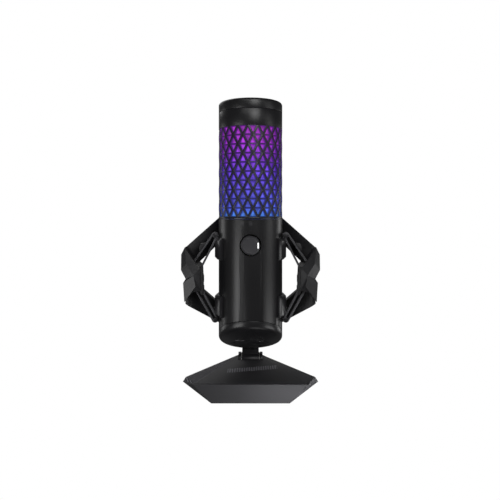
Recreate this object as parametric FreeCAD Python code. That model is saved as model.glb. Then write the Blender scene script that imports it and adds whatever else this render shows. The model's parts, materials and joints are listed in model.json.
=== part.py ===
import FreeCAD, Part
import math
import os
from FreeCAD import Rotation, Vector

# Desktop microphone: a lit side-address microphone hung on elastic loops between two
# faceted wings, on a hinged neck and a heavy faceted foot. Millimetres, +Z up.
# The origin is on the floor under the microphone's axis, and the front faces -Y.

# Microphone body
body_diameter = 58.8
body_wall = 1.8
lattice_bottom = 159.4
lattice_rows = 10
lattice_columns = 20
row_height = 8.03
hole_width = 5.6
hole_height = 5.9
column_turn = 4.4
band_height = 15.1
cap_height = 9.1
cap_chamfer = 0.6
low_point_front = 61.8
low_point_back = 28.7
bottom_cap_depth = 6.3
bottom_cap_chamfer = 2.6
seam_gap = 0.3
spigot_length = 5.0
spigot_clearance = 0.15

# Front controls
knob_height = 134.8
knob_diameter = 17.0
knob_face_diameter = 14.4
knob_gap = 0.65
knob_proud = 4.0
knob_depth = 7.0
knob_facets = 24
knob_rim_depth = 1.5
knob_skirt_wall = 1.5
knob_travel = 0.8
indicator_width = 1.0
indicator_length = 4.8
indicator_depth = 0.8
shaft_radius = 3.0
shaft_end = -11.5
plunger_length = 1.6
encoder_front = -14.0
encoder_back = -7.0
encoder_half_width = 6.5
bush_front = -18.0
bush_wall = 1.5
running_clearance = 0.05
lamp_radius = 0.75
lamp_height = 147.7
lamp_places = (-7.2, 0.0)

# Sockets in the slanted bottom
usb_width = 9.0
usb_height = 3.3
usb_place = (-10.0, 4.0)
jack_radius = 1.78
jack_body_radius = 3.4
jack_place = (10.0, 4.0)
socket_length = 10.6
socket_clearance = 0.1
socket_inset = 0.4
usb_shell = 0.35
usb_tongue = (6.6, 0.7, 1.6)
jack_end_wall = 1.2
socket_board_size = ((-19.0, 19.0), (-5.0, 13.0))
board_post_radius = 2.0
board_posts = ((-16.5, 10.0), (16.5, 10.0), (0.0, 10.5))

# Hook pads on the microphone's sides
pad_thickness = 3.6
pad_bevel = 2.2
pad_half_angle = 29.0
pad_turn = -4.0
upper_pad_heights = (120.3, 140.0)
lower_pad_heights = (68.8, 88.1)
peg_radius = 1.0
peg_flange_radius = 1.9
peg_length = 5.0
peg_cheek = 1.6
peg_standoff = 3.0
peg_heights = (142.4, 65.4)
peg_web = (1.9, 1.4, 7.0, 1.8)

# Elastic loops; places across are measured out from the microphone's side
cord_diameter = 2.0
cord_plane = -6.0
cord_clearance = 0.4
peg_clearance = 0.1
cord_corner_radius = 4.0
outer_run = ((23.0, 117.0), (21.2, 93.4))
inner_run = ((16.0, 112.4), (14.2, 90.6))

# Wings; places across are measured out from the microphone's side
wing_thickness = 8.0
wing_tip = (31.1, 6.0)
block_face = -12.0
block_ridge = -16.0
block_back = 3.0
arm_root_heights = (178.0, 154.0, 59.0, 41.0)
arm_outline = ((30.1, 131.7), (33.3, 125.2), (33.5, 111.2), (29.3, 103.2), (31.6, 99.5),
               (31.4, 77.8))
arm_window = ((5.6, 78.9), (16.1, 89.6), (16.4, 113.1), (21.0, 114.3))
block_outline = ((30.1, 131.7), (33.3, 125.2), (33.5, 111.2), (29.3, 103.2), (31.6, 99.5),
                 (30.5, 82.1), (23.0, 90.9), (15.7, 92.3), (16.4, 113.1), (20.8, 117.9))
block_peaks = ((28.4, 117.5), (21.8, 106.7), (20.0, 96.9))
cord_lug = ((11.2, 135.4), (16.2, 134.8), (17.4, 131.5), (17.0, 127.2))
cord_lug_front = -7.6
holder_width = 3.9
holder_heights = (88.6, 113.6)
holder_depths = (-11.0, 1.0)
pin_radius = 1.6

# Spine and neck
spine_width = 18.0
spine_gap = 7.6
spine_depth = 10.0
spine_heights = (38.0, 178.0)
spine_chamfer = 3.0
spine_groove = (6.0, 2.5, 22.0)
dowel_insets = (14.0, 12.0)
neck_top = 33.0
neck_top_width = 16.2
neck_top_depth = 8.6
stud_radius = 4.0
stud_reach = 9.0
stud_depth = 5.0
lock_ring_radius = 8.2
lock_ring_grooves = 12
groove_radius = 0.8

# Neck hinge
hinge_place = (36.0, 17.0)
barrel_radius = 6.5
barrel_width = 17.0
hinge_pin_radius = 3.0
washer_thickness = 0.5
washer_gap = 0.1
ear_thickness = 2.9
ear_radius = 6.8
recess_room = 1.6
recess_room_behind = 3.2
bracket_floor = (4.0, 1.0)
bracket_screw_spread = 5.0

# Foot
girdle_outline = ((-48.7, -41.2), (48.7, -41.2), (58.3, -33.7), (11.0, 50.0), (-11.0, 50.0),
                  (-58.3, -33.7))
sole_outline = ((-34.1, -37.5), (34.1, -37.5), (38.0, -31.0), (11.0, 46.5), (-11.0, 46.5),
                (-38.0, -31.0))
foot_thickness = 1.0
girdle_height = 17.6
bevel_width = 2.0
bevel_rise = 0.7
outer_corners = (2, 5)
outer_corner_lift = (0.2, 3.4)
shell_wall = 3.0
shell_roof = 5.0
plate_thickness = 2.0
ballast_gap = 0.3
screw_places = ((-24.0, -25.0), (24.0, -25.0), (-12.0, 15.0), (12.0, 15.0))
screw_radius = 1.25
screw_head_radius = 2.6
screw_head_height = 1.2
screw_length = 8.0
boss_radius = 3.2
rear_wall = 5.0

# Inside the microphone
board_thickness = 1.6
inner_gap = 0.3
foam_thickness = 2.4
light_guide_thickness = 1.4
lamp_count = 12
lamp_size = (3.0, 2.5, 1.2)
deck_thickness = 2.0
deck_hole = 10.0
rail_spread = 20.0
rail_width = 3.0
rail_depths = (11.7, 15.7)
board_chip_places = ((0, 92), (-11, 112), (9, 118), (-8, 76), (11, 78))
board_chip_sizes = ((9, 9, 1.2), (6, 6, 1.0), (7, 5, 1.4), (5, 8, 2.2), (4, 4, 3.0))
capsule_height = 204.0
capsule_radius = 12.5
capsule_depth = 9.0
capsule_wall = 1.2
capsule_axis_offset = 2.0
backplate_holes = 8
backplate_hole = (0.8, 6.0)
isolator_height = 7.0
isolator_radius = 8.0
mount_foot_radius = 18.0
mount_column_radius = 4.0

# Worked out from the sizes above
body_radius = body_diameter / 2
body_inside = body_radius - body_wall
lattice_top = lattice_bottom + lattice_rows * row_height
cap_seam = lattice_top + band_height
mic_top = cap_seam + cap_height
cut_angle = math.degrees(math.atan((low_point_front - low_point_back) / body_diameter))
bottom_middle = (low_point_front + low_point_back) / 2
seam_middle = bottom_middle + bottom_cap_depth / math.cos(math.radians(cut_angle))
knob_radius = knob_diameter / 2
knob_hole_radius = knob_radius + knob_gap
knob_face = -(body_radius + knob_proud)
cord_radius = cord_diameter / 2
loop_radius = peg_radius + peg_clearance + cord_radius
upper_peg, lower_peg = [(body_radius + peg_standoff, height) for height in peg_heights]
hinge_y, hinge_z = hinge_place
led_level = lattice_bottom - 6.0
spine_front = body_radius + spine_gap
spine_middle = spine_front + spine_depth / 2
wing_root = (spine_width / 2, spine_middle)
board_foot = seam_middle + spigot_length + 8.0
foam_outside = body_inside - inner_gap
guide_outside = foam_outside - foam_thickness - inner_gap
ledge = 2.0
beyond = 2 * mic_top


def outward(places):
    """Places measured out from the microphone's side, as places from its axis."""
    return [(body_radius + out, height) for out, height in places]


outer_run, inner_run, block_outline = outward(outer_run), outward(inner_run), outward(block_outline)
arm_outline = ([(wing_root[0], arm_root_heights[0])] + outward(arm_outline)
               + [(wing_root[0], arm_root_heights[3]), (wing_root[0], arm_root_heights[2])]
               + outward(arm_window) + [(wing_root[0], arm_root_heights[1])])
wing_tip = (body_radius + wing_tip[0], wing_tip[1])


def box(x_range, y_range, z_range):
    (x0, x1), (y0, y1), (z0, z1) = x_range, y_range, z_range
    return Part.makeBox(x1 - x0, y1 - y0, z1 - z0, Vector(x0, y0, z0))


def rod(radius, start, end):
    start, end = Vector(*start), Vector(*end)
    return Part.makeCylinder(radius, (end - start).Length, start, end - start)


def tube(outer, inner, low, high):
    return rod(outer, (0, 0, low), (0, 0, high)).cut(rod(inner, (0, 0, low), (0, 0, high)))


def face_through(points):
    corners = [Vector(*point) for point in points]
    return Part.Face(Part.makePolygon(corners + corners[:1]))


def prism(outline, low, high):
    """A straight prism over an outline in plan."""
    return face_through([(x, y, low) for x, y in outline]).extrude(Vector(0, 0, high - low))


def side_prism(outline, front, back):
    """A prism over an outline seen from the front, from one depth to another."""
    return face_through([(x, front, z) for x, z in outline]).extrude(Vector(0, back - front, 0))


def join(*shapes):
    return shapes[0].multiFuse(list(shapes[1:])).removeSplitter()


def mirrored(shape):
    return shape.mirror(Vector(0, 0, 0), Vector(1, 0, 0))


def solid_of(faces):
    """The closed solid inside flat faces, each given as a list of corners."""
    solid = Part.Solid(Part.Shell([face_through(face) for face in faces]))
    if solid.Volume < 0:
        solid.reverse()
    return solid


def inset(outline, distance):
    """A convex anticlockwise outline drawn in by a distance."""
    edges = []
    for index, (x0, y0) in enumerate(outline):
        x1, y1 = outline[(index + 1) % len(outline)]
        length = math.hypot(x1 - x0, y1 - y0)
        normal = ((y0 - y1) / length, (x1 - x0) / length)
        edges.append((normal, normal[0] * x0 + normal[1] * y0 + distance))
    corners = []
    for index, ((a, b), reach) in enumerate(edges):
        (c, d), before = edges[index - 1]
        across = a * d - b * c
        corners.append(((reach * d - before * b) / across, (before * a - reach * c) / across))
    return corners


def tilted(shape, height):
    """Lay a shape made on level ground onto the slanted plane at a height on the axis."""
    shape.rotate(Vector(0, 0, 0), Vector(1, 0, 0), -cut_angle)
    shape.translate(Vector(0, 0, height))
    return shape


def above_slant(height):
    reach = 4 * body_diameter
    return tilted(box((-reach, reach), (-reach, reach), (0, 2 * reach)), height)


def save(name, shape):
    shape.exportStep("parts/" + name + ".step")


# ---- Microphone ------------------------------------------------------------

def make_body_tube():
    shell = tube(body_radius, body_inside, 0, lattice_bottom - ledge)
    shell = shell.common(above_slant(seam_middle + seam_gap))
    holes = [rod(knob_hole_radius, (0, -beyond, knob_height), (0, -body_radius / 3, knob_height))]
    for x in lamp_places:
        holes.append(rod(lamp_radius, (x, -beyond, lamp_height), (x, -body_radius / 3, lamp_height)))
    for side in (-1, 1):
        for height in pad_screw_heights():
            holes.append(pad_screw(side, height))
    return shell.cut(holes)


def make_grille():
    sleeve = tube(body_radius, body_inside, lattice_bottom - ledge + seam_gap, cap_seam - seam_gap)
    holes = []
    for row in range(lattice_rows):
        level = lattice_bottom + row * row_height
        for column in range(2 * lattice_columns):
            points_up = (column + row) % 2 == 0
            low, high = level + ledge / 2, level + row_height - ledge / 2
            tip, foot = (high, low) if points_up else (low, high)
            half = hole_width / 2
            depth = body_radius / 2
            hole = face_through([(-half, -depth, foot), (half, -depth, foot), (0, -depth, tip)])
            hole = hole.extrude(Vector(0, -body_radius, 0))
            turn = column_turn + column * 180.0 / lattice_columns
            hole.rotate(Vector(0, 0, 0), Vector(0, 0, 1), turn)
            holes.append(hole)
    return sleeve.cut(holes)


def make_top_cap():
    lid = rod(body_radius, (0, 0, cap_seam), (0, 0, mic_top))
    rim = [edge for edge in lid.Edges if edge.BoundBox.ZMin > mic_top - 0.01]
    lid = lid.makeChamfer(cap_chamfer, rim)
    hollow = rod(body_inside - ledge, (0, 0, cap_seam), (0, 0, mic_top - 2 * body_wall))
    spigot_outside = body_inside - spigot_clearance
    spigot = tube(spigot_outside, body_inside - ledge, cap_seam - spigot_length, cap_seam + 1)
    return join(lid.cut(hollow), spigot)


def make_touch_sensor():
    return rod(body_inside - 2 * ledge, (0, 0, mic_top - 2 * body_wall - board_thickness),
               (0, 0, mic_top - 2 * body_wall))


def usb_opening(margin):
    half_width, half_height = usb_width / 2 + margin, usb_height / 2 + margin
    x, y = usb_place
    run = half_width - half_height
    middle = box((x - run, x + run), (y - half_height, y + half_height), (-beyond, beyond))
    ends = [rod(half_height, (x + side * run, y, -beyond), (x + side * run, y, beyond)) for side in (-1, 1)]
    return join(middle, *ends)


def make_bottom_cap():
    column = rod(body_radius, (0, 0, 0), (0, 0, mic_top))
    cap = column.common(above_slant(bottom_middle)).cut(above_slant(seam_middle))
    rim = [edge for edge in cap.Edges
           if edge.BoundBox.ZMin < low_point_back + 0.1 and edge.BoundBox.ZMax < low_point_front + 0.1
           and edge.BoundBox.YLength > body_radius]
    cap = cap.makeChamfer(bottom_cap_chamfer, rim)
    spigot = tube(body_inside - spigot_clearance, body_inside - ledge, 0, mic_top)
    spigot = spigot.common(above_slant(seam_middle - 1)).cut(above_slant(seam_middle + spigot_length))
    x, y = jack_place
    jack_hole = rod(jack_body_radius + socket_clearance, (x, y, -beyond), (x, y, beyond))
    holes = [tilted(shape, bottom_middle) for shape in (usb_opening(socket_clearance), jack_hole)]
    posts = [tilted(rod(board_post_radius, (x, y, bottom_cap_depth - 1), (x, y, socket_length)),
                    bottom_middle) for x, y in board_posts]
    return join(cap, spigot, *posts).cut(holes)


def make_usb_socket():
    x, y = usb_place
    sides = ((x - usb_width, x + usb_width), (y - usb_height, y + usb_height))
    shell = usb_opening(0).cut(usb_opening(-usb_shell)).common(box(*sides, (socket_inset, socket_length)))
    width, thickness, setback = usb_tongue
    tongue = box((x - width / 2, x + width / 2), (y - thickness / 2, y + thickness / 2),
                 (setback, socket_length))
    back = usb_opening(0).common(box(*sides, (socket_length - body_wall, socket_length)))
    return tilted(join(shell, back, tongue), bottom_middle)


def make_headphone_jack():
    x, y = jack_place
    barrel = rod(jack_body_radius, (x, y, socket_inset), (x, y, socket_length))
    bore = rod(jack_radius, (x, y, 0), (x, y, socket_length - jack_end_wall))
    return tilted(barrel.cut(bore), bottom_middle)


def make_socket_board():
    board = box(*socket_board_size, (socket_length, socket_length + board_thickness))
    return tilted(board, bottom_middle)


def pad_screw_heights():
    return [sum(heights) / 2 for heights in (upper_pad_heights, lower_pad_heights)]


def pad_screw(side, height):
    return rod(screw_radius, (side * (body_inside - 3), 0, height),
               (side * (body_radius + pad_thickness / 2), 0, height))


def make_pad_screws():
    screws = []
    for side in (-1, 1):
        for height in pad_screw_heights():
            head = rod(screw_head_radius, (side * (body_inside - 3), 0, height),
                       (side * (body_inside - 1), 0, height))
            screws.append(join(pad_screw(side, height), head))
    return Part.makeCompound(screws)


def make_hook_pad(heights, peg, toward):
    """One curved pad with the peg that the elastic loop goes round; toward is +1 up, -1 down."""
    low, high = heights
    pad = Part.makeCylinder(body_radius + pad_thickness, high - low, Vector(0, 0, low),
                            Vector(0, 0, 1), 2 * pad_half_angle)
    pad.rotate(Vector(0, 0, 0), Vector(0, 0, 1), pad_turn - pad_half_angle)
    pad = pad.cut(rod(body_radius, (0, 0, low - 1), (0, 0, high + 1)))
    long_edges = [edge for edge in pad.Edges
                  if edge.BoundBox.ZLength < 0.01
                  and math.hypot(edge.CenterOfMass.x, edge.CenterOfMass.y) > body_radius
                  and edge.Length > body_radius / 2]
    pad = pad.makeChamfer(pad_bevel, long_edges)
    pad = pad.cut(loop_solid(cord_radius + cord_clearance))
    x, z = peg
    front, back = cord_plane - peg_length / 2, cord_plane + peg_length / 2
    peg_rod = rod(peg_radius, (x, front, z), (x, back + peg_cheek, z))
    flange = rod(peg_flange_radius, (x, front - peg_cheek, z), (x, front, z))
    inner, outer, root, tip = peg_web
    start, end = (high if toward > 0 else low) - toward * root, z + toward * tip
    web = side_prism(((x - inner, start), (x + outer, start), (x + outer, end), (x - inner, end)),
                     back, back + peg_cheek)
    web = web.cut(rod(body_radius, (0, 0, 0), (0, 0, mic_top)))
    hook = join(pad, peg_rod, flange, web)
    return hook.cut([pad_screw(1, height) for height in pad_screw_heights()])


def make_knob():
    back = knob_face + knob_depth
    rim = knob_face + knob_rim_depth
    hub_front = knob_face + knob_depth / 2

    def ring(radius, y):
        step = 2 * math.pi / knob_facets
        corners = [Vector(radius * math.cos(k * step), y, knob_height + radius * math.sin(k * step))
                   for k in range(knob_facets)]
        return Part.makePolygon(corners + corners[:1])

    face = Part.makeLoft([ring(knob_face_diameter / 2, knob_face), ring(knob_radius, rim)], True, True)
    skirt = rod(knob_radius, (0, rim, knob_height), (0, back, knob_height))
    knob = join(face, skirt)
    hollow = rod(knob_radius - knob_skirt_wall, (0, hub_front, knob_height), (0, back, knob_height))
    hub = rod(shaft_radius + knob_skirt_wall, (0, hub_front - 0.1, knob_height), (0, back, knob_height))
    shaft_hole = rod(shaft_radius, (0, hub_front, knob_height), (0, back, knob_height))
    knob = join(knob.cut(hollow), hub).cut(shaft_hole)
    return knob.cut(indicator_box(0.1, 1.0))


def indicator_box(gap, proud):
    """The index light's place on the knob's face, or with a gap and a proud front its opening."""
    edge, half = knob_face_diameter / 2, indicator_length / 2
    return box((edge - indicator_width, edge - 0.1 + gap),
               (knob_face + 0.05 - proud, knob_face + indicator_depth),
               (knob_height - half, knob_height + half))


def make_encoder_shaft():
    return rod(shaft_radius, (0, knob_face + knob_depth / 2, knob_height), (0, shaft_end, knob_height))


def make_encoder_plunger():
    return rod(shaft_radius, (0, shaft_end + running_clearance, knob_height),
               (0, shaft_end + plunger_length, knob_height))


def make_encoder():
    half = encoder_half_width
    case = box((-half, half), (encoder_front, encoder_back), (knob_height - half, knob_height + half))
    bush = rod(shaft_radius + bush_wall, (0, bush_front, knob_height),
               (0, encoder_front + 0.5, knob_height))
    bore = rod(shaft_radius + running_clearance, (0, bush_front - 1, knob_height),
               (0, shaft_end + plunger_length + knob_travel + 0.2, knob_height))
    return join(case, bush).cut(bore)


def make_knob_board():
    half = encoder_half_width + 7.5
    return box((-half, half), (encoder_back, encoder_back + board_thickness),
               (knob_height - half, lamp_height + 3))


def make_lamp_lenses():
    lenses = []
    for x in lamp_places:
        surface = -math.sqrt(body_radius ** 2 - x ** 2)
        light_pipe = rod(lamp_radius, (x, surface + 0.1, lamp_height), (x, encoder_back - 0.2, lamp_height))
        lenses.append(light_pipe)
    return Part.makeCompound(lenses)


def make_chassis():
    top = led_level
    deck = tube(body_inside - inner_gap, deck_hole, top - deck_thickness, top)
    low, half = board_foot, rail_width / 2
    rails = [box((side * rail_spread - half, side * rail_spread + half), rail_depths, (low, top - 1))
             for side in (-1, 1)]
    shelf = box((-rail_spread - half, rail_spread + half), rail_depths, (low, low + rail_width))
    return join(deck, shelf, *rails)


def make_main_board():
    half = rail_spread + rail_width / 3
    back = rail_depths[0]
    return box((-half, half), (back - board_thickness, back), (board_foot, led_level - 4))


def make_board_chips():
    chips = []
    front = rail_depths[0] - board_thickness
    for (x, z), (width, height, depth) in zip(board_chip_places, board_chip_sizes):
        chips.append(box((x - width / 2, x + width / 2), (front - depth, front),
                         (z - height / 2, z + height / 2)))
    return Part.makeCompound(chips)


def make_led_board():
    return tube(body_inside - inner_gap, 14, led_level, led_level + board_thickness)


def make_leds():
    lamps = []
    length, width, height = lamp_size
    low = led_level + board_thickness
    for index in range(lamp_count):
        lamp = box((guide_outside - length, guide_outside), (-width / 2, width / 2), (low, low + height))
        lamp.rotate(Vector(0, 0, 0), Vector(0, 0, 1), 360.0 * index / lamp_count)
        lamps.append(lamp)
    return Part.makeCompound(lamps)


def make_light_guide():
    return tube(guide_outside, guide_outside - light_guide_thickness, led_level + 3.2, lattice_top + 2)


def make_pop_filter():
    return tube(foam_outside, foam_outside - foam_thickness, led_level + board_thickness, lattice_top + 2)


def make_capsule_mount():
    base = led_level + board_thickness
    low = capsule_height - capsule_radius - isolator_height
    y = capsule_axis_offset
    foot = rod(mount_foot_radius, (0, 0, base), (0, 0, base + deck_thickness))
    column = rod(mount_column_radius, (0, y, base + 1), (0, y, low))
    deck = rod(deck_hole, (0, y, low), (0, y, low + deck_thickness))
    return join(foot, column, deck)


def make_capsule_isolator():
    low = capsule_height - capsule_radius - isolator_height + deck_thickness
    y = capsule_axis_offset
    block = rod(isolator_radius, (0, y, low), (0, y, low + isolator_height))
    return block.cut(rod(capsule_radius, (0, -beyond, capsule_height), (0, beyond, capsule_height)))


def make_capsule_housing():
    half = capsule_depth / 2
    case = rod(capsule_radius, (0, -half, capsule_height), (0, half, capsule_height))
    return case.cut(rod(capsule_radius - capsule_wall, (0, -half, capsule_height),
                        (0, half - capsule_wall, capsule_height)))


def make_capsule_diaphragm():
    front = -capsule_depth / 2 + 0.4
    return rod(capsule_radius - capsule_wall, (0, front, capsule_height), (0, front + 0.3, capsule_height))


def make_capsule_backplate():
    front = -capsule_depth / 2 + 1.2
    plate = rod(capsule_radius - capsule_wall, (0, front, capsule_height), (0, front + 2.0, capsule_height))
    radius, spread = backplate_hole
    holes = []
    for index in range(backplate_holes):
        angle = index * 2 * math.pi / backplate_holes
        x, z = spread * math.cos(angle), capsule_height + spread * math.sin(angle)
        holes.append(rod(radius, (x, front - 1, z), (x, front + 4, z)))
    return plate.cut(holes)


# ---- Elastic loops ----------------------------------------------------------

def tangent_point(center, outside, side):
    """Where a line from an outside point touches the loop's circle about a peg."""
    dx, dz = outside[0] - center[0], outside[1] - center[1]
    turn = math.acos(loop_radius / math.hypot(dx, dz))
    angle = math.atan2(dz, dx) + side * turn
    return (center[0] + loop_radius * math.cos(angle), center[1] + loop_radius * math.sin(angle))


def loop_solid(radius):
    """A closed loop: over the upper peg, down the outer run, round the lower peg, up the inner run."""
    def point(place):
        return Vector(place[0], cord_plane, place[1])

    def arc_piece(center, start, end, turn):
        ring = Part.Face(Part.Wire(Part.makeCircle(radius, start, (start - center).cross(Vector(0, 1, 0)))))
        return ring.revolve(center, Vector(0, 1, 0), turn)

    def signed_turn(center, start, end):
        first, last = start - center, end - center
        return math.degrees(math.atan2(first.cross(last).dot(Vector(0, 1, 0)), first.dot(last)))

    top_out, low_out = outer_run
    top_in, low_in = inner_run
    stops = []
    corners = ((tangent_point(upper_peg, top_out, 1), top_out, low_out),
               (top_out, low_out, tangent_point(lower_peg, low_out, -1)),
               (tangent_point(lower_peg, low_in, 1), low_in, top_in),
               (low_in, top_in, tangent_point(upper_peg, top_in, -1)))
    pieces = []
    for before, corner, after in corners:
        here, back, ahead = point(corner), point(before) - point(corner), point(after) - point(corner)
        back.normalize()
        ahead.normalize()
        half = math.acos(back.dot(ahead)) / 2
        reach = cord_corner_radius / math.tan(half)
        middle = (back + ahead).normalize() * (cord_corner_radius / math.sin(half))
        start, end, center = here + back * reach, here + ahead * reach, here + middle
        pieces.append(arc_piece(center, start, end, signed_turn(center, start, end)))
        stops.append((start, end))
    for peg, leave, arrive, up in ((upper_peg, stops[0][0], stops[3][1], 1),
                                   (lower_peg, stops[2][0], stops[1][1], -1)):
        first = point(tangent_point(peg, (arrive.x, arrive.z), -1))
        last = point(tangent_point(peg, (leave.x, leave.z), 1))
        turn = signed_turn(point(peg), first, last)
        turn = turn if turn > 0 else turn + 360
        pieces.append(arc_piece(point(peg), first, last, turn))
        pieces.append(rod(radius, first, arrive))
        pieces.append(rod(radius, last, leave))
    pieces.append(rod(radius, stops[0][1], stops[1][0]))
    pieces.append(rod(radius, stops[2][1], stops[3][0]))
    return join(*pieces)


# ---- Wings -------------------------------------------------------------------

def wing_slab():
    (x0, y0), (x1, y1) = wing_root, wing_tip
    length = math.hypot(x1 - x0, y1 - y0)
    slab = box((-length, 2 * length), (-wing_thickness / 2, wing_thickness / 2), (0, mic_top))
    slab.rotate(Vector(0, 0, 0), Vector(0, 0, 1), math.degrees(math.atan2(y1 - y0, x1 - x0)))
    slab.translate(Vector(x0, y0, 0))
    return slab


def in_front_of_slab_back():
    (x0, y0), (x1, y1) = wing_root, wing_tip
    length = math.hypot(x1 - x0, y1 - y0)
    room = box((-length, 2 * length), (-3 * length, wing_thickness / 2), (0, mic_top))
    room.rotate(Vector(0, 0, 0), Vector(0, 0, 1), math.degrees(math.atan2(y1 - y0, x1 - x0)))
    room.translate(Vector(x0, y0, 0))
    return room


def wing_pins(side):
    pins = []
    for height in (spine_heights[0] + dowel_insets[0], spine_heights[1] - dowel_insets[1]):
        pins.append(rod(pin_radius, (side * (wing_root[0] - 5), spine_middle, height),
                        (side * (wing_root[0] + 6), spine_middle - 1.5, height)))
    return pins


def make_wing():
    arms = side_prism(arm_outline, -beyond, beyond).common(wing_slab())
    front_room = box((0, 2 * wing_tip[0]), (-beyond, block_back), (0, mic_top))
    web = side_prism(block_outline, block_back, wing_root[1]).common(in_front_of_slab_back())
    lug = side_prism(outward(cord_lug), cord_lug_front, wing_root[1]).common(in_front_of_slab_back())
    wing = join(arms.cut(front_room), web, lug)
    return wing.cut(wing_pins(1) + [loop_solid(cord_radius + cord_clearance)])


def make_wing_block():
    """The faceted front of a wing: flat back, flat sides and a front that rises to three ridge points."""
    rim = [(x, block_face, z) for x, z in block_outline]
    back = [(x, block_back, z) for x, z in block_outline]
    upper, middle, lower = [(x, block_ridge, z) for x, z in outward(block_peaks)]
    faces = [back]
    for index in range(len(rim)):
        after = (index + 1) % len(rim)
        faces.append([rim[index], rim[after], back[after], back[index]])
    ridge_of = (upper, upper, upper, middle, lower, lower, lower, middle, middle, upper)
    for index, ridge in enumerate(ridge_of):
        after = (index + 1) % len(rim)
        following = ridge_of[after]
        faces.append([rim[index], rim[after], ridge])
        if following is not ridge:
            faces.append([rim[after], following, ridge])
    block = solid_of(faces)
    return block.cut(loop_solid(cord_radius + cord_clearance))


def make_cord_holder():
    low, high = holder_heights
    front, back = holder_depths
    edge = inner_run[0][0] - holder_width / 2
    stop = block_outline[8][0]
    step = (high - low) / 8
    outline = ((edge + 0.7, high), (stop, high), (stop, low + step), (stop - 1.0, low),
               (edge - 0.6, low), (edge - 0.6, low + 2.2 * step), (edge, low + 2.4 * step),
               (edge, high - 2.2 * step), (edge + 0.7, high - 2 * step))
    holder = side_prism(outline, front, back)
    web = side_prism(((stop - 2.0, high - 3 * step), (stop, high - 3 * step), (stop, low + 3 * step),
                      (stop - 2.0, low + 3 * step)), back, block_back + 6)
    holder = join(holder, web).cut(side_prism(block_outline, -beyond, beyond))
    return holder.cut(loop_solid(cord_radius + cord_clearance))


# ---- Spine and neck -----------------------------------------------------------

def make_spine():
    half = spine_width / 2
    low, high = spine_heights
    back = spine_front + spine_depth
    bar = box((-half, half), (spine_front, back), (low, high))
    edges = [edge for edge in bar.Edges
             if edge.BoundBox.ZLength > 1 and edge.CenterOfMass.y > spine_middle]
    bar = bar.makeChamfer(spine_chamfer, edges)
    width, depth, end = spine_groove
    groove = box((-width / 2, width / 2), (spine_front - 1, spine_front + depth), (low + end, high - end))
    stud_hole = rod(stud_radius, (0, spine_middle, low - 1), (0, spine_middle, low + stud_reach))
    return bar.cut([groove, stud_hole] + wing_pins(1) + wing_pins(-1))


def make_wing_dowels():
    return Part.makeCompound(wing_pins(1) + wing_pins(-1))


def rectangle(half_width, front, back, height):
    return Part.makePolygon([Vector(-half_width, front, height), Vector(half_width, front, height),
                             Vector(half_width, back, height), Vector(-half_width, back, height),
                             Vector(-half_width, front, height)])


def make_neck():
    half = barrel_width / 2
    barrel = rod(barrel_radius, (-half, hinge_y, hinge_z), (half, hinge_y, hinge_z))
    shoulder = barrel_radius - 0.4
    root = rectangle(half, hinge_y - shoulder, hinge_y + shoulder, hinge_z)
    top = rectangle(neck_top_width / 2, spine_middle - neck_top_depth / 2,
                    spine_middle + neck_top_depth / 2, neck_top)
    post = Part.makeLoft([root, top], True, True)
    return join(barrel, post).cut([pin_hole(running_clearance), stud_body()])


def pin_hole(clearance):
    return rod(hinge_pin_radius + clearance, (-beyond, hinge_y, hinge_z), (beyond, hinge_y, hinge_z))


def stud_body():
    return rod(stud_radius, (0, spine_middle, neck_top - stud_depth),
               (0, spine_middle, spine_heights[0] + stud_reach))


def make_lock_ring():
    ring = rod(lock_ring_radius, (0, spine_middle, neck_top), (0, spine_middle, spine_heights[0]))
    grooves = []
    for index in range(lock_ring_grooves):
        angle = index * 2 * math.pi / lock_ring_grooves
        x = lock_ring_radius * math.cos(angle)
        y = spine_middle + lock_ring_radius * math.sin(angle)
        grooves.append(rod(groove_radius, (x, y, neck_top), (x, y, spine_heights[0])))
    return ring.cut(grooves + [stud_body()])


# ---- Foot ----------------------------------------------------------------------

def lifted(outline, height, corner_lift):
    """An outline at a height, with the two outermost corners raised."""
    return [(x, y, height + (corner_lift if index in outer_corners else 0))
            for index, (x, y) in enumerate(outline)]


def foot_blank():
    sole = [(x, y, foot_thickness) for x, y in sole_outline]
    girdle = lifted(girdle_outline, girdle_height, outer_corner_lift[0])
    top = lifted(inset(girdle_outline, bevel_width), girdle_height + bevel_rise, outer_corner_lift[1])
    faces = [sole, [top[0], top[1], top[3], top[4]], top[1:4], [top[4], top[5], top[0]]]
    for lower, upper in ((sole, girdle), (girdle, top)):
        for index in range(len(lower)):
            after = (index + 1) % len(lower)
            faces.append([lower[index], lower[after], upper[after]])
            faces.append([lower[index], upper[after], upper[index]])
    return solid_of(faces)


def recess():
    half = barrel_width / 2 + washer_thickness + washer_gap + ear_thickness + washer_gap
    front = hinge_y - barrel_radius - recess_room
    back = hinge_y + barrel_radius + recess_room_behind
    floor = hinge_z - barrel_radius - bracket_floor[0]
    return box((-half, half), (front, back), (floor, beyond))


def bracket_screw(side, radius, low, high):
    x = side * bracket_screw_spread
    return rod(radius, (x, hinge_y, low), (x, hinge_y, high))


def make_base_shell():
    plate_top = foot_thickness + plate_thickness
    roof = girdle_height + bevel_rise - shell_roof
    hollow = prism(inset(sole_outline, shell_wall), foot_thickness, roof)
    solid_rear = box((-beyond, beyond), (hinge_y - barrel_radius - rear_wall, beyond),
                     (plate_top, roof + 1))
    bosses = [rod(boss_radius, (x, y, plate_top), (x, y, roof + 0.5)) for x, y in screw_places]
    shell = join(foot_blank().cut(hollow.cut(solid_rear)), *bosses)
    holes = [rod(screw_radius, (x, y, 0), (x, y, roof - 1)) for x, y in screw_places]
    for side in (-1, 1):
        holes.append(bracket_screw(side, screw_head_radius, 0, plate_top + screw_head_height))
        holes.append(bracket_screw(side, screw_radius, 0, beyond))
    return shell.cut(holes + [recess()])


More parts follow.
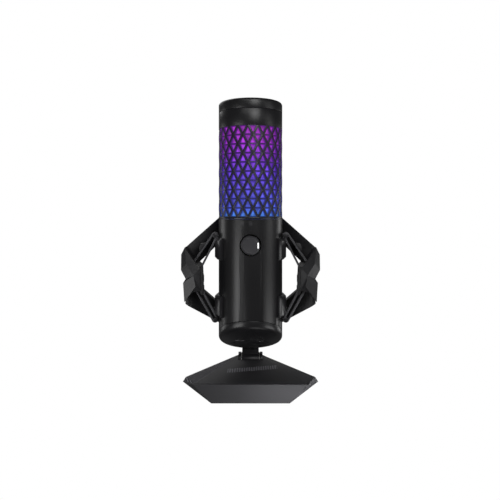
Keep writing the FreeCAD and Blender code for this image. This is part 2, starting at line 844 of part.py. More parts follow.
def make_base_plate():
    plate = prism(inset(sole_outline, shell_wall + 0.2), foot_thickness, foot_thickness + plate_thickness)
    return plate.cut(base_screws())


def base_screws():
    screws = []
    for x, y in screw_places:
        head = rod(screw_head_radius, (x, y, foot_thickness), (x, y, foot_thickness + screw_head_height))
        shank = rod(screw_radius, (x, y, foot_thickness), (x, y, foot_thickness + screw_length))
        screws.append(join(head, shank))
    return screws


def bracket_screws():
    plate_top = foot_thickness + plate_thickness
    screws = []
    for side in (-1, 1):
        head = bracket_screw(side, screw_head_radius, plate_top, plate_top + screw_head_height)
        shank = bracket_screw(side, screw_radius, plate_top,
                              hinge_z - barrel_radius - bracket_floor[1] - 0.5)
        screws.append(join(head, shank))
    return screws


def make_ballast():
    roof = girdle_height + bevel_rise - shell_roof
    block = prism(inset(sole_outline, shell_wall + ballast_gap), foot_thickness + plate_thickness,
                  roof - ballast_gap)
    rear = box((-beyond, beyond), (hinge_y - barrel_radius - rear_wall - ballast_gap, beyond), (0, beyond))
    holes = [rod(boss_radius + ballast_gap, (x, y, 0), (x, y, beyond)) for x, y in screw_places]
    return block.cut(holes + [rear])


def make_rubber_foot():
    return prism(inset(sole_outline, 1.0), 0, foot_thickness)


def make_hinge_bracket():
    inside = barrel_width / 2 + washer_thickness + washer_gap
    outside = inside + ear_thickness
    low, floor_top = [hinge_z - barrel_radius - drop for drop in bracket_floor]
    parts = [box((-outside, outside), (hinge_y - ear_radius, hinge_y + ear_radius), (low, floor_top))]
    for side in (-1, 1):
        near, far = sorted((side * inside, side * outside))
        parts.append(box((near, far), (hinge_y - ear_radius, hinge_y + ear_radius), (low, hinge_z)))
        parts.append(rod(ear_radius, (near, hinge_y, hinge_z), (far, hinge_y, hinge_z)))
    bracket = join(*parts)
    return bracket.cut([pin_hole(0)] + bracket_screws())


def make_hinge_pin():
    reach = barrel_width / 2 + washer_thickness + washer_gap + ear_thickness
    return rod(hinge_pin_radius, (-reach, hinge_y, hinge_z), (reach, hinge_y, hinge_z))


def make_friction_washers():
    washers = []
    inside = barrel_width / 2 + washer_gap
    for side in (-1, 1):
        near, far = side * inside, side * (inside + washer_thickness)
        disc = rod(barrel_radius - 0.5, (near, hinge_y, hinge_z), (far, hinge_y, hinge_z))
        washers.append(disc.cut(pin_hole(0)))
    return Part.makeCompound(washers)


os.makedirs("parts", exist_ok=True)

save("rubber_foot", make_rubber_foot())
save("base_plate", make_base_plate())
save("base_screws", Part.makeCompound(base_screws()))
save("base_shell", make_base_shell())
save("ballast", make_ballast())
save("hinge_bracket", make_hinge_bracket())
save("bracket_screws", Part.makeCompound(bracket_screws()))
save("hinge_pin", make_hinge_pin())
save("friction_washers", make_friction_washers())

save("neck", make_neck())
save("neck_stud", stud_body())
save("lock_ring", make_lock_ring())
save("spine", make_spine())
save("wing_dowels", make_wing_dowels())
for side_name, place in (("right", lambda shape: shape), ("left", mirrored)):
    save("wing_" + side_name, place(make_wing()))
    save("wing_block_" + side_name, place(make_wing_block()))
    save("cord_holder_" + side_name, place(make_cord_holder()))
    save("elastic_loop_" + side_name, place(loop_solid(cord_radius)))
    save("hook_pad_upper_" + side_name, place(make_hook_pad(upper_pad_heights, upper_peg, 1)))
    save("hook_pad_lower_" + side_name, place(make_hook_pad(lower_pad_heights, lower_peg, -1)))

save("body_tube", make_body_tube())
save("grille", make_grille())
save("top_cap", make_top_cap())
save("touch_sensor", make_touch_sensor())
save("bottom_cap", make_bottom_cap())
save("usb_socket", make_usb_socket())
save("headphone_jack", make_headphone_jack())
save("socket_board", make_socket_board())
save("pad_screws", make_pad_screws())
save("encoder", make_encoder())
save("knob_board", make_knob_board())
save("lamp_lenses", make_lamp_lenses())
save("chassis", make_chassis())
save("main_board", make_main_board())
save("board_chips", make_board_chips())
save("led_board", make_led_board())
save("leds", make_leds())
save("light_guide", make_light_guide())
save("pop_filter", make_pop_filter())
save("capsule_mount", make_capsule_mount())
save("capsule_isolator", make_capsule_isolator())
save("capsule_housing", make_capsule_housing())
save("capsule_diaphragm", make_capsule_diaphragm())
save("capsule_backplate", make_capsule_backplate())

save("encoder_plunger", make_encoder_plunger())
save("encoder_shaft", make_encoder_shaft())
save("gain_knob", make_knob())
save("knob_indicator", indicator_box(0, 0))
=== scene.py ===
import json
import math

import bpy
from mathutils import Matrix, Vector

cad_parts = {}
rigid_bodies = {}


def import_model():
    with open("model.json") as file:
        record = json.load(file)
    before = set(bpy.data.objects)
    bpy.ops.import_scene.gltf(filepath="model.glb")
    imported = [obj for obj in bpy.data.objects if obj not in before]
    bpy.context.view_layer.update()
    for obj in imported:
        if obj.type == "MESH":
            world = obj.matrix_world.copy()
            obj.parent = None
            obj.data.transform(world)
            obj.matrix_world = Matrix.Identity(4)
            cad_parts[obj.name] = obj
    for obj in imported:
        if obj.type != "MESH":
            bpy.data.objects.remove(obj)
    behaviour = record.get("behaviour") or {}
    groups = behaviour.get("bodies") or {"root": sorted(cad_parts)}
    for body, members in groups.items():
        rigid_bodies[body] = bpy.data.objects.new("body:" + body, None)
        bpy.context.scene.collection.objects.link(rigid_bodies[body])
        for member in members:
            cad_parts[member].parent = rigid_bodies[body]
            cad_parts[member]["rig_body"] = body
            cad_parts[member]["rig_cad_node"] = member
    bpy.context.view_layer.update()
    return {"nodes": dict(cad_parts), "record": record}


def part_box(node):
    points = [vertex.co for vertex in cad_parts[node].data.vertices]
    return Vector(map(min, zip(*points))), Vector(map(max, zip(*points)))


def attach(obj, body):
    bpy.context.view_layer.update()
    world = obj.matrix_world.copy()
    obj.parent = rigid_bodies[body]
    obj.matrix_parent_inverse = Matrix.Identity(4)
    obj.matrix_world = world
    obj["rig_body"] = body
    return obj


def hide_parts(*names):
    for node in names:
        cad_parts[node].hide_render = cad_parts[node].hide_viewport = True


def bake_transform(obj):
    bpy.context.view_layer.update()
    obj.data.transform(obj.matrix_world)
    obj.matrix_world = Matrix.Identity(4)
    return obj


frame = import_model()
bpy.context.scene.view_settings.view_transform = "Standard"
print("frame loaded:", len(frame["nodes"]), "CAD nodes")

mm = 0.001
near = 0.01 * mm   # points closer than this count as one place


# camera

cameraSettings = {"distance": 0.4685, "height": 0.1655, "lens": 36.36, "sensor": 36.0, "shiftX": -0.001,
                  "shiftY": -0.08, "nearest": 10 * mm}

bpy.ops.object.camera_add(location=(0, -cameraSettings["distance"], cameraSettings["height"]),
                          rotation=(math.pi / 2, 0, 0))
camera = bpy.context.object
camera.data.lens = cameraSettings["lens"]
camera.data.sensor_width = cameraSettings["sensor"]
camera.data.shift_x, camera.data.shift_y = cameraSettings["shiftX"], cameraSettings["shiftY"]
camera.data.clip_start = cameraSettings["nearest"]
bpy.context.scene.camera = camera
print("camera set")


# shader sockets as numbers: adding, multiplying and comparing them adds Math nodes

class Value:
    def __init__(self, finish, socket):
        self.finish = finish
        self.socket = socket

    def calc(self, operation, first, second=None):
        return self.finish.add("ShaderNodeMath", {"operation": operation}, {0: first, 1: second})

    def __add__(self, other): return self.calc("ADD", self, other)
    def __radd__(self, other): return self.calc("ADD", other, self)
    def __sub__(self, other): return self.calc("SUBTRACT", self, other)
    def __rsub__(self, other): return self.calc("SUBTRACT", other, self)
    def __mul__(self, other): return self.calc("MULTIPLY", self, other)
    def __rmul__(self, other): return self.calc("MULTIPLY", other, self)
    def __truediv__(self, other): return self.calc("DIVIDE", self, other)
    def __rtruediv__(self, other): return self.calc("DIVIDE", other, self)
    def __mod__(self, other): return self.calc("FLOORED_MODULO", self, other)
    def __rmod__(self, other): return self.calc("FLOORED_MODULO", other, self)
    def __lt__(self, other): return self.calc("LESS_THAN", self, other)
    def __gt__(self, other): return self.calc("GREATER_THAN", self, other)
    def __abs__(self): return self.calc("ABSOLUTE", self)


class Finish:
    # the nodes of a new material, or of the world when it is handed in
    def __init__(self, name, world=None):
        self.material = world or bpy.data.materials.new(name)
        self.material.use_nodes = True
        self.tree = self.material.node_tree
        self.shader = self.tree.nodes.get("Principled BSDF")

    def plug(self, socket, value):
        if value is None:
            return
        if isinstance(value, Value):
            self.tree.links.new(value.socket, socket)
        else:
            socket.default_value = value

    def add(self, kind, settings=None, sockets=None, output=0):
        node = self.tree.nodes.new(kind)
        for key, value in (settings or {}).items():
            if key == "stops":
                ramp = node.color_ramp
                while len(ramp.elements) < len(value):
                    ramp.elements.new(1.0)
                for stop, (place, color) in zip(ramp.elements, value):
                    stop.position = place
                    stop.color = color
            else:
                setattr(node, key, value)
        for key, value in (sockets or {}).items():
            self.plug(node.inputs[key], value)
        return Value(self, node.outputs[output])

    def set(self, **values):
        for key, value in values.items():
            self.plug(self.shader.inputs[key.replace("_", " ")], value)
        return self

    def place(self):
        return self.add("ShaderNodeTexCoord", output="Object")

    def axes(self, place=None):
        place = place or self.place()
        return [self.add("ShaderNodeSeparateXYZ", {}, {0: place}, output=i) for i in range(3)]

    def noise(self, scale, detail=4.0, roughness=0.5, place=None):
        return self.add("ShaderNodeTexNoise", {}, {"Vector": place or self.place(), "Scale": scale,
                                                   "Detail": detail, "Roughness": roughness})

    def blend(self, amount, first, second):
        return self.add("ShaderNodeMix", {"data_type": "RGBA"}, {0: amount, 6: first, 7: second}, output=2)

    def between(self, value, low, high):
        return self.add("ShaderNodeMapRange", {}, {"Value": value, "To Min": low, "To Max": high})

    def bump(self, height, strength, distance):
        return self.add("ShaderNodeBump", {}, {"Height": height, "Strength": strength,
                                               "Distance": distance})


def gray(level, tint=(1.0, 1.0, 1.0)):
    return (level * tint[0], level * tint[1], level * tint[2], 1.0)


coolBlack = (0.97, 0.96, 1.06)


def blackPlastic(name, level, roughness, grain, grainSize=2600.0, edgeLevel=1.7):
    # moulded black plastic: spark-eroded grain, cloudy gloss, faint paling where it is handled
    finish = Finish(name)
    cloud = finish.noise(38.0, 5.0)
    speck = finish.noise(grainSize, 2.0, 0.6)
    worn = finish.between(finish.noise(120.0, 6.0, 0.65), 0.0, 1.0)
    tone = finish.blend(worn * cloud, gray(level, coolBlack), gray(level * edgeLevel, coolBlack))
    finish.set(Base_Color=tone, Roughness=finish.between(cloud, roughness - 0.05, roughness + 0.07),
               Normal=finish.bump(speck, grain, 0.12 * mm))
    return finish.material


def satinMetal(name, level, roughness, grain=0.12):
    # powder-coated metal: very fine texture and slow changes of sheen
    finish = Finish(name)
    cloud = finish.noise(26.0, 3.0)
    powder = finish.noise(3600.0, 2.0, 0.7)
    tone = finish.blend(cloud, gray(level, coolBlack), gray(level * 1.35, coolBlack))
    finish.set(Base_Color=tone, Roughness=finish.between(cloud, roughness - 0.03, roughness + 0.04),
               Normal=finish.bump(powder, grain, 0.08 * mm))
    return finish.material


def bareMetal(name, color, roughness, scale=900.0):
    # turned or rolled bare metal with fine scratches along one way
    finish = Finish(name)
    stretched = finish.add("ShaderNodeMapping", {}, {"Vector": finish.place(), "Scale": (1.0, 1.0, 14.0)})
    scratch = finish.noise(scale, 3.0, 0.7, stretched)
    tone = finish.blend(scratch, color, tuple(0.72 * c for c in color[:3]) + (1.0,))
    finish.set(Base_Color=tone, Metallic=1.0,
               Roughness=finish.between(scratch, roughness, roughness + 0.16),
               Normal=finish.bump(scratch, 0.15, 0.05 * mm))
    return finish.material


def rubberFinish(name, level):
    finish = Finish(name)
    dust = finish.noise(700.0, 4.0, 0.7)
    tone = finish.blend(dust, gray(level), gray(level * 1.8))
    finish.set(Base_Color=tone, Roughness=finish.between(dust, 0.72, 0.9),
               Normal=finish.bump(dust, 0.3, 0.2 * mm))
    return finish.material


boardPattern = {"pitch": 1.6 * mm, "track": 0.22 * mm, "padScale": 420.0, "padSize": 0.05}


def boardFinish(name):
    # green solder mask with faint tracks and pads
    finish = Finish(name)
    x, y, z = finish.axes()
    tracks = abs((x + z) % boardPattern["pitch"] - boardPattern["pitch"] / 2) < boardPattern["track"]
    cells = finish.add("ShaderNodeTexVoronoi", {"feature": "DISTANCE_TO_EDGE"},
                       {"Vector": finish.place(), "Scale": boardPattern["padScale"]})
    pads = cells < boardPattern["padSize"]
    tone = finish.blend(tracks * 0.6, (0.008, 0.06, 0.028, 1), (0.02, 0.13, 0.06, 1))
    tone = finish.blend(pads * 0.5, tone, (0.55, 0.42, 0.16, 1))
    finish.set(Base_Color=tone, Roughness=finish.between(tracks, 0.42, 0.3))
    return finish.material


def speckledPlastic(name, color, roughness):
    finish = Finish(name)
    fleck = finish.noise(500.0, 3.0)
    tone = finish.blend(fleck, color, tuple(0.8 * c for c in color[:3]) + (1.0,))
    finish.set(Base_Color=tone, Roughness=finish.between(fleck, roughness, roughness + 0.12),
               Normal=finish.bump(fleck, 0.1, 0.05 * mm))
    return finish.material


def litPlastic(name, color, strength):
    # a clear lens that glows: a lamp behind it for the light guide, a painted glint for the knob's index
    # lens
    finish = Finish(name)
    core = finish.noise(400.0, 2.0)
    glow = finish.blend(core, color, tuple(0.8 * c for c in color[:3]) + (1.0,))
    finish.set(Base_Color=(0.6, 0.62, 0.65, 1), Roughness=0.25, Emission_Color=glow,
               Emission_Strength=strength)
    return finish.material


braid = {"pitch": 1.1 * mm, "lean": 0.7}


def braidFinish(name):
    # woven sheath of an elastic cord: crossing strands with a faint sheen
    finish = Finish(name)
    x, y, z = finish.axes()
    pitch = braid["pitch"]
    first = abs((x + z + y * braid["lean"]) % pitch - pitch / 2) / (pitch / 2)
    second = abs((x - z - y * braid["lean"]) % pitch - pitch / 2) / (pitch / 2)
    weave = first * second
    tone = finish.blend(weave, gray(0.03, coolBlack), gray(0.22, coolBlack))
    finish.set(Base_Color=tone, Roughness=finish.between(weave, 0.7, 0.45),
               Normal=finish.bump(weave, 0.6, 0.3 * mm), Sheen_Weight=0.25)
    return finish.material


glow = {"bottom": 159.4 * mm, "top": 239.7 * mm, "wander": 0.12, "strength": 1.35,
        "colors": ((0.00, (0.050, 0.250, 0.720, 1)), (0.09, (0.085, 0.150, 0.850, 1)),
                   (0.30, (0.130, 0.100, 0.800, 1)), (0.52, (0.180, 0.060, 0.800, 1)),
                   (0.66, (0.300, 0.045, 0.730, 1)), (0.84, (0.470, 0.040, 0.700, 1)),
                   (1.00, (0.430, 0.035, 0.560, 1)))}


def glowColor(finish):
    x, y, z = finish.axes()
    blotch = finish.noise(55.0, 2.0)
    height = (z - glow["bottom"]) / (glow["top"] - glow["bottom"])
    height = height + (blotch - 0.5) * glow["wander"]
    return finish.add("ShaderNodeValToRGB", {"stops": glow["colors"]}, {0: height}), blotch


def glowFinish(name):
    # foam lit from inside: blue at the foot, violet, then magenta at the top
    finish = Finish(name)
    color, blotch = glowColor(finish)
    foam = finish.noise(900.0, 3.0, 0.7)
    spots = finish.add("ShaderNodeMapRange", {"clamp": True},
                       {"Value": finish.noise(230.0, 2.0), "From Min": 0.35, "From Max": 0.65,
                        "To Max": 0.6})
    dim = finish.blend(finish.between(foam * blotch, 0.0, 0.9), color, (0.0, 0.0, 0.0, 1))
    dim = finish.blend(spots, dim, (0.0, 0.0, 0.0, 1))
    finish.set(Base_Color=(0.05, 0.04, 0.09, 1), Roughness=0.9, Emission_Color=dim,
               Emission_Strength=glow["strength"], Normal=finish.bump(foam, 0.5, 0.4 * mm))
    return finish.material


latticePaintedGlow = {"edgeRadius": 29.38 * mm, "deepRadius": 28.3 * mm, "strength": 0.55, "indigoShare": 0.6,
               "indigo": (0.03, 0.008, 0.28, 1)}


def latticeFinish(name):
    # black metal whose pierced edges carry painted light: the walls of the holes emit an indigo-tinted copy
    # of the foam's glow behind them
    finish = Finish(name)
    x, y, z = finish.axes()
    color, blotch = glowColor(finish)
    radius = finish.add("ShaderNodeVectorMath", {"operation": "LENGTH"},
                        {0: finish.add("ShaderNodeCombineXYZ", {}, {0: x, 1: y, 2: 0.0})}, output="Value")
    inward = finish.add("ShaderNodeMapRange", {"clamp": True},
                        {"Value": radius, "From Min": latticePaintedGlow["edgeRadius"],
                         "From Max": latticePaintedGlow["deepRadius"]})
    powder = finish.noise(3200.0, 2.0, 0.7)
    tinted = finish.blend(latticePaintedGlow["indigoShare"], color, latticePaintedGlow["indigo"])
    # painted light: the deeper into a hole, the more the wall glows with the tinted foam colour
    edge = finish.blend(inward, (0, 0, 0, 1), tinted)
    finish.set(Base_Color=gray(0.012, coolBlack), Metallic=0.0,
               Roughness=finish.between(powder, 0.3, 0.42), Emission_Color=edge,
               Emission_Strength=latticePaintedGlow["strength"], Normal=finish.bump(powder, 0.12, 0.08 * mm))
    return finish.material


panelMarks = {"at": (-7.2 * mm, 0.0), "low": 151.6 * mm, "high": 155.4 * mm, "halfWidth": 1.5 * mm,
              "line": 0.6 * mm, "level": 0.05}


def tubeFinish(name):
    # powder-coated tube with two small printed stacks of lines over the lamps
    finish = Finish(name)
    x, y, z = finish.axes()
    cloud = finish.noise(26.0, 3.0)
    powder = finish.noise(3600.0, 2.0, 0.7)
    left, right = [abs(x - place) < panelMarks["halfWidth"] for place in panelMarks["at"]]
    lines = z % (2 * panelMarks["line"]) < panelMarks["line"]
    marks = (left + right) * lines * (z > panelMarks["low"]) * (z < panelMarks["high"]) * (y < 0.0)
    tone = finish.blend(cloud, gray(0.010, coolBlack), gray(0.0135, coolBlack))
    tone = finish.blend(marks, tone, gray(panelMarks["level"], coolBlack))
    finish.set(Base_Color=tone, Roughness=finish.between(cloud, 0.29, 0.36) + marks * 0.1,
               Normal=finish.bump(powder, 0.12, 0.08 * mm))
    return finish.material


basePattern = {"topFrom": 18.25 * mm, "hatchPitch": 1.5 * mm, "hatchLine": 0.5 * mm, "hatchEnd": -30.3 * mm,
               "hatchWay": (0.83, 0.55), "hatchLean": 0.43, "hatchShare": 0.55,
               "dotPitch": 2.2 * mm, "dotRadius": 0.75 * mm, "dotsAt": (2 * mm, -1 * mm),
               "dotsHalf": (23 * mm, 5.5 * mm), "dotsLean": 0.25, "markLevel": 0.3}


def baseFinish(name):
    # satin black casting with a hatched corner and a strip of small dots on the sloping top
    finish = Finish(name)
    x, y, z = finish.axes()
    cloud = finish.noise(30.0, 4.0)
    powder = finish.noise(3000.0, 2.0, 0.7)
    onTop = z > basePattern["topFrom"]
    wayX, wayY = basePattern["hatchWay"]
    across = (y * wayY + x * wayX) % basePattern["hatchPitch"]
    onCorner = x < basePattern["hatchEnd"] + y * basePattern["hatchLean"]
    hatch = (across < basePattern["hatchLine"]) * onCorner * onTop
    column = abs(x % basePattern["dotPitch"] - basePattern["dotPitch"] / 2)
    row = abs(y % basePattern["dotPitch"] - basePattern["dotPitch"] / 2)
    (dotsX, dotsY), (halfX, halfY) = basePattern["dotsAt"], basePattern["dotsHalf"]
    inStrip = (abs(x - dotsX) < halfX) * (abs(y - dotsY - x * basePattern["dotsLean"]) < halfY)
    dots = (column * column + row * row < basePattern["dotRadius"] ** 2) * inStrip * onTop
    marks = hatch * basePattern["hatchShare"] + dots
    tone = finish.blend(cloud, gray(0.027, coolBlack), gray(0.036, coolBlack))
    tone = finish.blend(marks, tone, gray(basePattern["markLevel"], coolBlack))
    finish.set(Base_Color=tone, Roughness=finish.between(cloud, 0.5, 0.6) + marks * 0.1,
               Normal=finish.bump(powder * 0.3 - marks, 0.25, 0.2 * mm))
    return finish.material


finishes = {
    "rubber": rubberFinish("soleRubber", 0.02),
    "steel": bareMetal("bareSteel", (0.55, 0.55, 0.57, 1), 0.28),
    "cast_black": baseFinish("footCasting"),
    "bracket_black": satinMetal("bracketBlack", 0.014, 0.36),
    "washer_plastic": speckledPlastic("washerPlastic", (0.7, 0.7, 0.67, 1), 0.5),
    "wing_black": blackPlastic("wingPlastic", 0.011, 0.46, 0.35),
    "wing_grey": blackPlastic("blockPlastic", 0.016, 0.38, 0.25),
    "holder_black": blackPlastic("holderPlastic", 0.010, 0.5, 0.4),
    "elastic": braidFinish("elasticBraid"),
    "pad_grey": blackPlastic("padPlastic", 0.02, 0.3, 0.18),
    "satin_black": tubeFinish("tubeCoating"),
    "grille_metal": latticeFinish("latticeMetalPaintedGlow"),
    "board_green": boardFinish("circuitBoard"),
    "bright_metal": bareMetal("brightShell", (0.62, 0.62, 0.64, 1), 0.25),
    "jack_black": blackPlastic("socketPlastic", 0.02, 0.5, 0.2),
    # painted highlight: the knob's index lens glows white in place of the glint on the knob's edge
    "lamp_clear": litPlastic("paintedGlintLens", (1.0, 1.0, 1.0, 1), 1.8),
    "chassis_metal": bareMetal("chassisMetal", (0.5, 0.5, 0.52, 1), 0.35),
    "diffuser": litPlastic("guideAcrylic", (0.35, 0.15, 0.9, 1), 0.04),
    "foam": glowFinish("litFoam"),
    "isolator_rubber": rubberFinish("isolatorRubber", 0.03),
    "gold_film": bareMetal("goldFilm", (0.85, 0.62, 0.25, 1), 0.2),
    "brass": bareMetal("brassPlate", (0.72, 0.55, 0.22, 1), 0.3),
    "knob_black": blackPlastic("knobPlastic", 0.045, 0.36, 0.15),
}
slotOf = {part["node"]: part["material_slot"] for part in frame["record"]["subparts"]}
unlitLens = speckledPlastic("unlitLens", (0.02, 0.02, 0.024, 1), 0.3)   # the two lamps are off
for nodeName, node in frame["nodes"].items():
    node.data.materials.clear()
    node.data.materials.append(unlitLens if nodeName == "lamp_lenses" else finishes[slotOf[nodeName]])
print("finishes made:", len(finishes))


# small helpers

def clearSelection():
    if bpy.context.object and bpy.context.object.mode != "OBJECT":
        bpy.ops.object.mode_set(mode="OBJECT")
    bpy.ops.object.select_all(action="DESELECT")


def pick(piece):
    clearSelection()
    piece.select_set(True)
    bpy.context.view_layer.objects.active = piece


def edit(piece, select="DESELECT", mode="FACE"):
    pick(piece)
    bpy.ops.object.mode_set(mode="EDIT")
    bpy.ops.mesh.select_mode(type=mode)
    bpy.ops.mesh.select_all(action=select)


def selectFaces(piece, wanted):
    # leaves the piece in edit mode with the faces that pass the test selected
    edit(piece)
    bpy.ops.object.mode_set(mode="OBJECT")
    for face in piece.data.polygons:
        face.select = wanted(face)
    bpy.ops.object.mode_set(mode="EDIT")


def selectEdges(piece, wanted):
    edit(piece, mode="EDGE")
    bpy.ops.object.mode_set(mode="OBJECT")
    points = piece.data.vertices
    for line in piece.data.edges:
        line.select = wanted(points[line.vertices[0]].co, points[line.vertices[1]].co)
    bpy.ops.object.mode_set(mode="EDIT")


def done():
    bpy.ops.object.mode_set(mode="OBJECT")


def settle(piece, name):
    pick(piece)
    bpy.ops.object.transform_apply(location=True, rotation=True, scale=True)
    piece.name = piece.data.name = name
    return piece


def apply(piece, kind, **settings):
    pick(piece)
    modifier = piece.modifiers.new(kind.lower(), kind)
    for key, value in settings.items():
        setattr(modifier, key, value)
    bpy.ops.object.modifier_apply(modifier=modifier.name)


def soften(piece, width, segments=2, angle=30.0):
    # rounds the sharp edges and shades the rest smooth
    apply(piece, "BEVEL", width=width, segments=segments, limit_method="ANGLE",
          angle_limit=math.radians(angle), harden_normals=False, use_clamp_overlap=True)
    pick(piece)
    bpy.ops.object.shade_smooth_by_angle(angle=math.radians(angle))


def finishOff(piece, body, slot, *nodes):
    piece.data.materials.clear()
    piece.data.materials.append(finishes[slot])
    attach(piece, body)
    if nodes:
        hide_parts(*nodes)
    return piece


def copyOf(nodeName, name, flatAngle=0.6):
    # a welded copy of a CAD node with its flat faces made whole again
    pick(frame["nodes"][nodeName])
    bpy.ops.object.duplicate()
    piece = bpy.context.object
    bpy.ops.object.parent_clear(type="CLEAR_KEEP_TRANSFORM")
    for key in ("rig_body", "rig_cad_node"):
        if key in piece:
            del piece[key]
    piece.name = piece.data.name = name
    edit(piece, "SELECT", "VERT")
    bpy.ops.mesh.remove_doubles(threshold=near)
    bpy.ops.mesh.dissolve_limited(angle_limit=math.radians(flatAngle))
    done()
    return piece


def cylinder(radius, low, high, sides, ends="NGON", axis="Z", center=(0, 0)):
    clearSelection()
    middle = (low + high) / 2
    if axis == "Z":
        location, rotation = (center[0], center[1], middle), (0, 0, 0)
    elif axis == "Y":
        location, rotation = (center[0], middle, center[1]), (math.pi / 2, 0, 0)
    else:
        location, rotation = (middle, center[0], center[1]), (0, math.pi / 2, 0)
    bpy.ops.mesh.primitive_cylinder_add(vertices=sides, radius=radius, depth=high - low,
                                        end_fill_type=ends, location=location, rotation=rotation)
    piece = bpy.context.object
    bpy.ops.object.transform_apply(location=True, rotation=True, scale=True)
    return piece


def block(low, high):
    clearSelection()
    center = [(a + b) / 2 for a, b in zip(low, high)]
    bpy.ops.mesh.primitive_cube_add(size=1.0, location=center)
    piece = bpy.context.object
    piece.scale = [b - a for a, b in zip(low, high)]
    bpy.ops.object.transform_apply(location=True, rotation=True, scale=True)
    return piece


def cutWith(piece, tool):
    apply(piece, "BOOLEAN", operation="DIFFERENCE", object=tool, solver="EXACT")
    bpy.data.objects.remove(tool)


# the tube, its caps and the slanted bottom

tube = {"sides": 192, "edge": 0.3 * mm, "frontLow": 61.8 * mm, "backLow": 28.7 * mm, "capDepth": 6.3 * mm,
        "wall": 1.8 * mm, "rimBevel": 3.0 * mm, "crownBevel": 2.4 * mm, "bevelSteps": 5,
        "seamGap": 0.3 * mm, "knobHeight": 134.8 * mm, "knobHole": 9.5 * mm, "knobHoleSides": 96,
        "lamps": (-7.2 * mm, 0.0), "lampHeight": 147.7 * mm, "lampHole": 0.75 * mm, "lampHoleSides": 32,
        "cutFrom": -50 * mm, "cutTo": -10 * mm,
        "ringInset": 5.0 * mm, "ringWidth": 0.5 * mm, "ringDepth": 0.25 * mm}
tubeRadius, _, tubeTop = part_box("body_tube")[1]
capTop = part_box("top_cap")[1].z
sleeveLow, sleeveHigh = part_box("grille")
slantAngle = math.atan((tube["frontLow"] - tube["backLow"]) / (2 * tubeRadius))
slantNormal = Vector((0, math.sin(slantAngle), math.cos(slantAngle)))
bottomMiddle = (tube["frontLow"] + tube["backLow"]) / 2
seamMiddle = bottomMiddle + tube["capDepth"] / math.cos(slantAngle)


def sliceOff(piece, height, keepAbove, fill):
    edit(piece, "SELECT")
    bpy.ops.mesh.bisect(plane_co=(0, 0, height), plane_no=slantNormal, use_fill=fill,
                        clear_inner=keepAbove, clear_outer=not keepAbove)
    done()


bodyTube = cylinder(tubeRadius, 0.0, tubeTop, tube["sides"], ends="NOTHING")
sliceOff(bodyTube, seamMiddle + tube["seamGap"], True, False)
apply(bodyTube, "SOLIDIFY", thickness=tube["wall"], offset=-1.0)
cutWith(bodyTube, cylinder(tube["knobHole"], tube["cutFrom"], tube["cutTo"], tube["knobHoleSides"],
                           axis="Y", center=(0, tube["knobHeight"])))
for lampX in tube["lamps"]:
    cutWith(bodyTube, cylinder(tube["lampHole"], tube["cutFrom"], tube["cutTo"], tube["lampHoleSides"],
                               axis="Y", center=(lampX, tube["lampHeight"])))
soften(bodyTube, tube["edge"])
finishOff(settle(bodyTube, "bodyTube"), "microphone", "satin_black", "body_tube")

topCap = cylinder(tubeRadius, sleeveHigh.z + tube["seamGap"], capTop, tube["sides"])
selectEdges(topCap, lambda a, b: min(a.z, b.z) > capTop - near)
bpy.ops.mesh.bevel(offset=tube["crownBevel"], segments=tube["bevelSteps"], profile=0.5)
done()
selectFaces(topCap, lambda face: face.normal.z > 0.9 and len(face.vertices) > 4)
bpy.ops.mesh.inset(thickness=tube["ringInset"])
bpy.ops.mesh.inset(thickness=tube["ringWidth"])
bpy.ops.mesh.inset(thickness=tube["ringWidth"], depth=-tube["ringDepth"])
bpy.ops.mesh.inset(thickness=tube["ringWidth"], depth=tube["ringDepth"])
done()
soften(topCap, tube["edge"])
finishOff(settle(topCap, "topCap"), "microphone", "satin_black", "top_cap")

bottomCap = cylinder(tubeRadius, 0.0, tubeTop, tube["sides"])
sliceOff(bottomCap, bottomMiddle, True, True)
sliceOff(bottomCap, seamMiddle, False, True)
bottomPoint = Vector((0, 0, bottomMiddle))
selectEdges(bottomCap, lambda a, b: abs((a - bottomPoint).dot(slantNormal)) < near
            and abs((b - bottomPoint).dot(slantNormal)) < near)
bpy.ops.mesh.bevel(offset=tube["rimBevel"], segments=tube["bevelSteps"], profile=0.5, clamp_overlap=True)
done()

# the flat socket and the round one, cut square to the slanted bottom

sockets = {"usbPlace": (-10.0 * mm, 4.0 * mm), "usbSize": (9.2 * mm, 3.5 * mm), "cornerShare": 0.98,
           "cornerSteps": 8, "jackPlace": (10.0 * mm, 4.0 * mm), "jackRadius": 3.5 * mm, "jackSides": 48,
           "reach": 20 * mm, "edge": 0.25 * mm}


def ontoSlant(piece):
    piece.rotation_euler = (-slantAngle, 0, 0)
    piece.location = (0, 0, bottomMiddle)
    return settle(piece, piece.name)


usbX, usbY = sockets["usbPlace"]
usbHalfWidth, usbHalfHeight = sockets["usbSize"][0] / 2, sockets["usbSize"][1] / 2
usbTool = block((usbX - usbHalfWidth, usbY - usbHalfHeight, -sockets["reach"]),
                (usbX + usbHalfWidth, usbY + usbHalfHeight, sockets["reach"]))
selectEdges(usbTool, lambda a, b: abs(a.z - b.z) > sockets["reach"])
bpy.ops.mesh.bevel(offset=usbHalfHeight * sockets["cornerShare"], segments=sockets["cornerSteps"])
done()
cutWith(bottomCap, ontoSlant(usbTool))
jackTool = cylinder(sockets["jackRadius"], -sockets["reach"], sockets["reach"], sockets["jackSides"],
                    center=sockets["jackPlace"])
cutWith(bottomCap, ontoSlant(jackTool))
soften(bottomCap, sockets["edge"])
finishOff(settle(bottomCap, "bottomCap"), "microphone", "satin_black", "bottom_cap")
print("tube and caps modelled")


# the pierced sleeve: one three-cornered cell, turned over for its neighbour, then set round and up
# turn and edgeAngle are in degrees

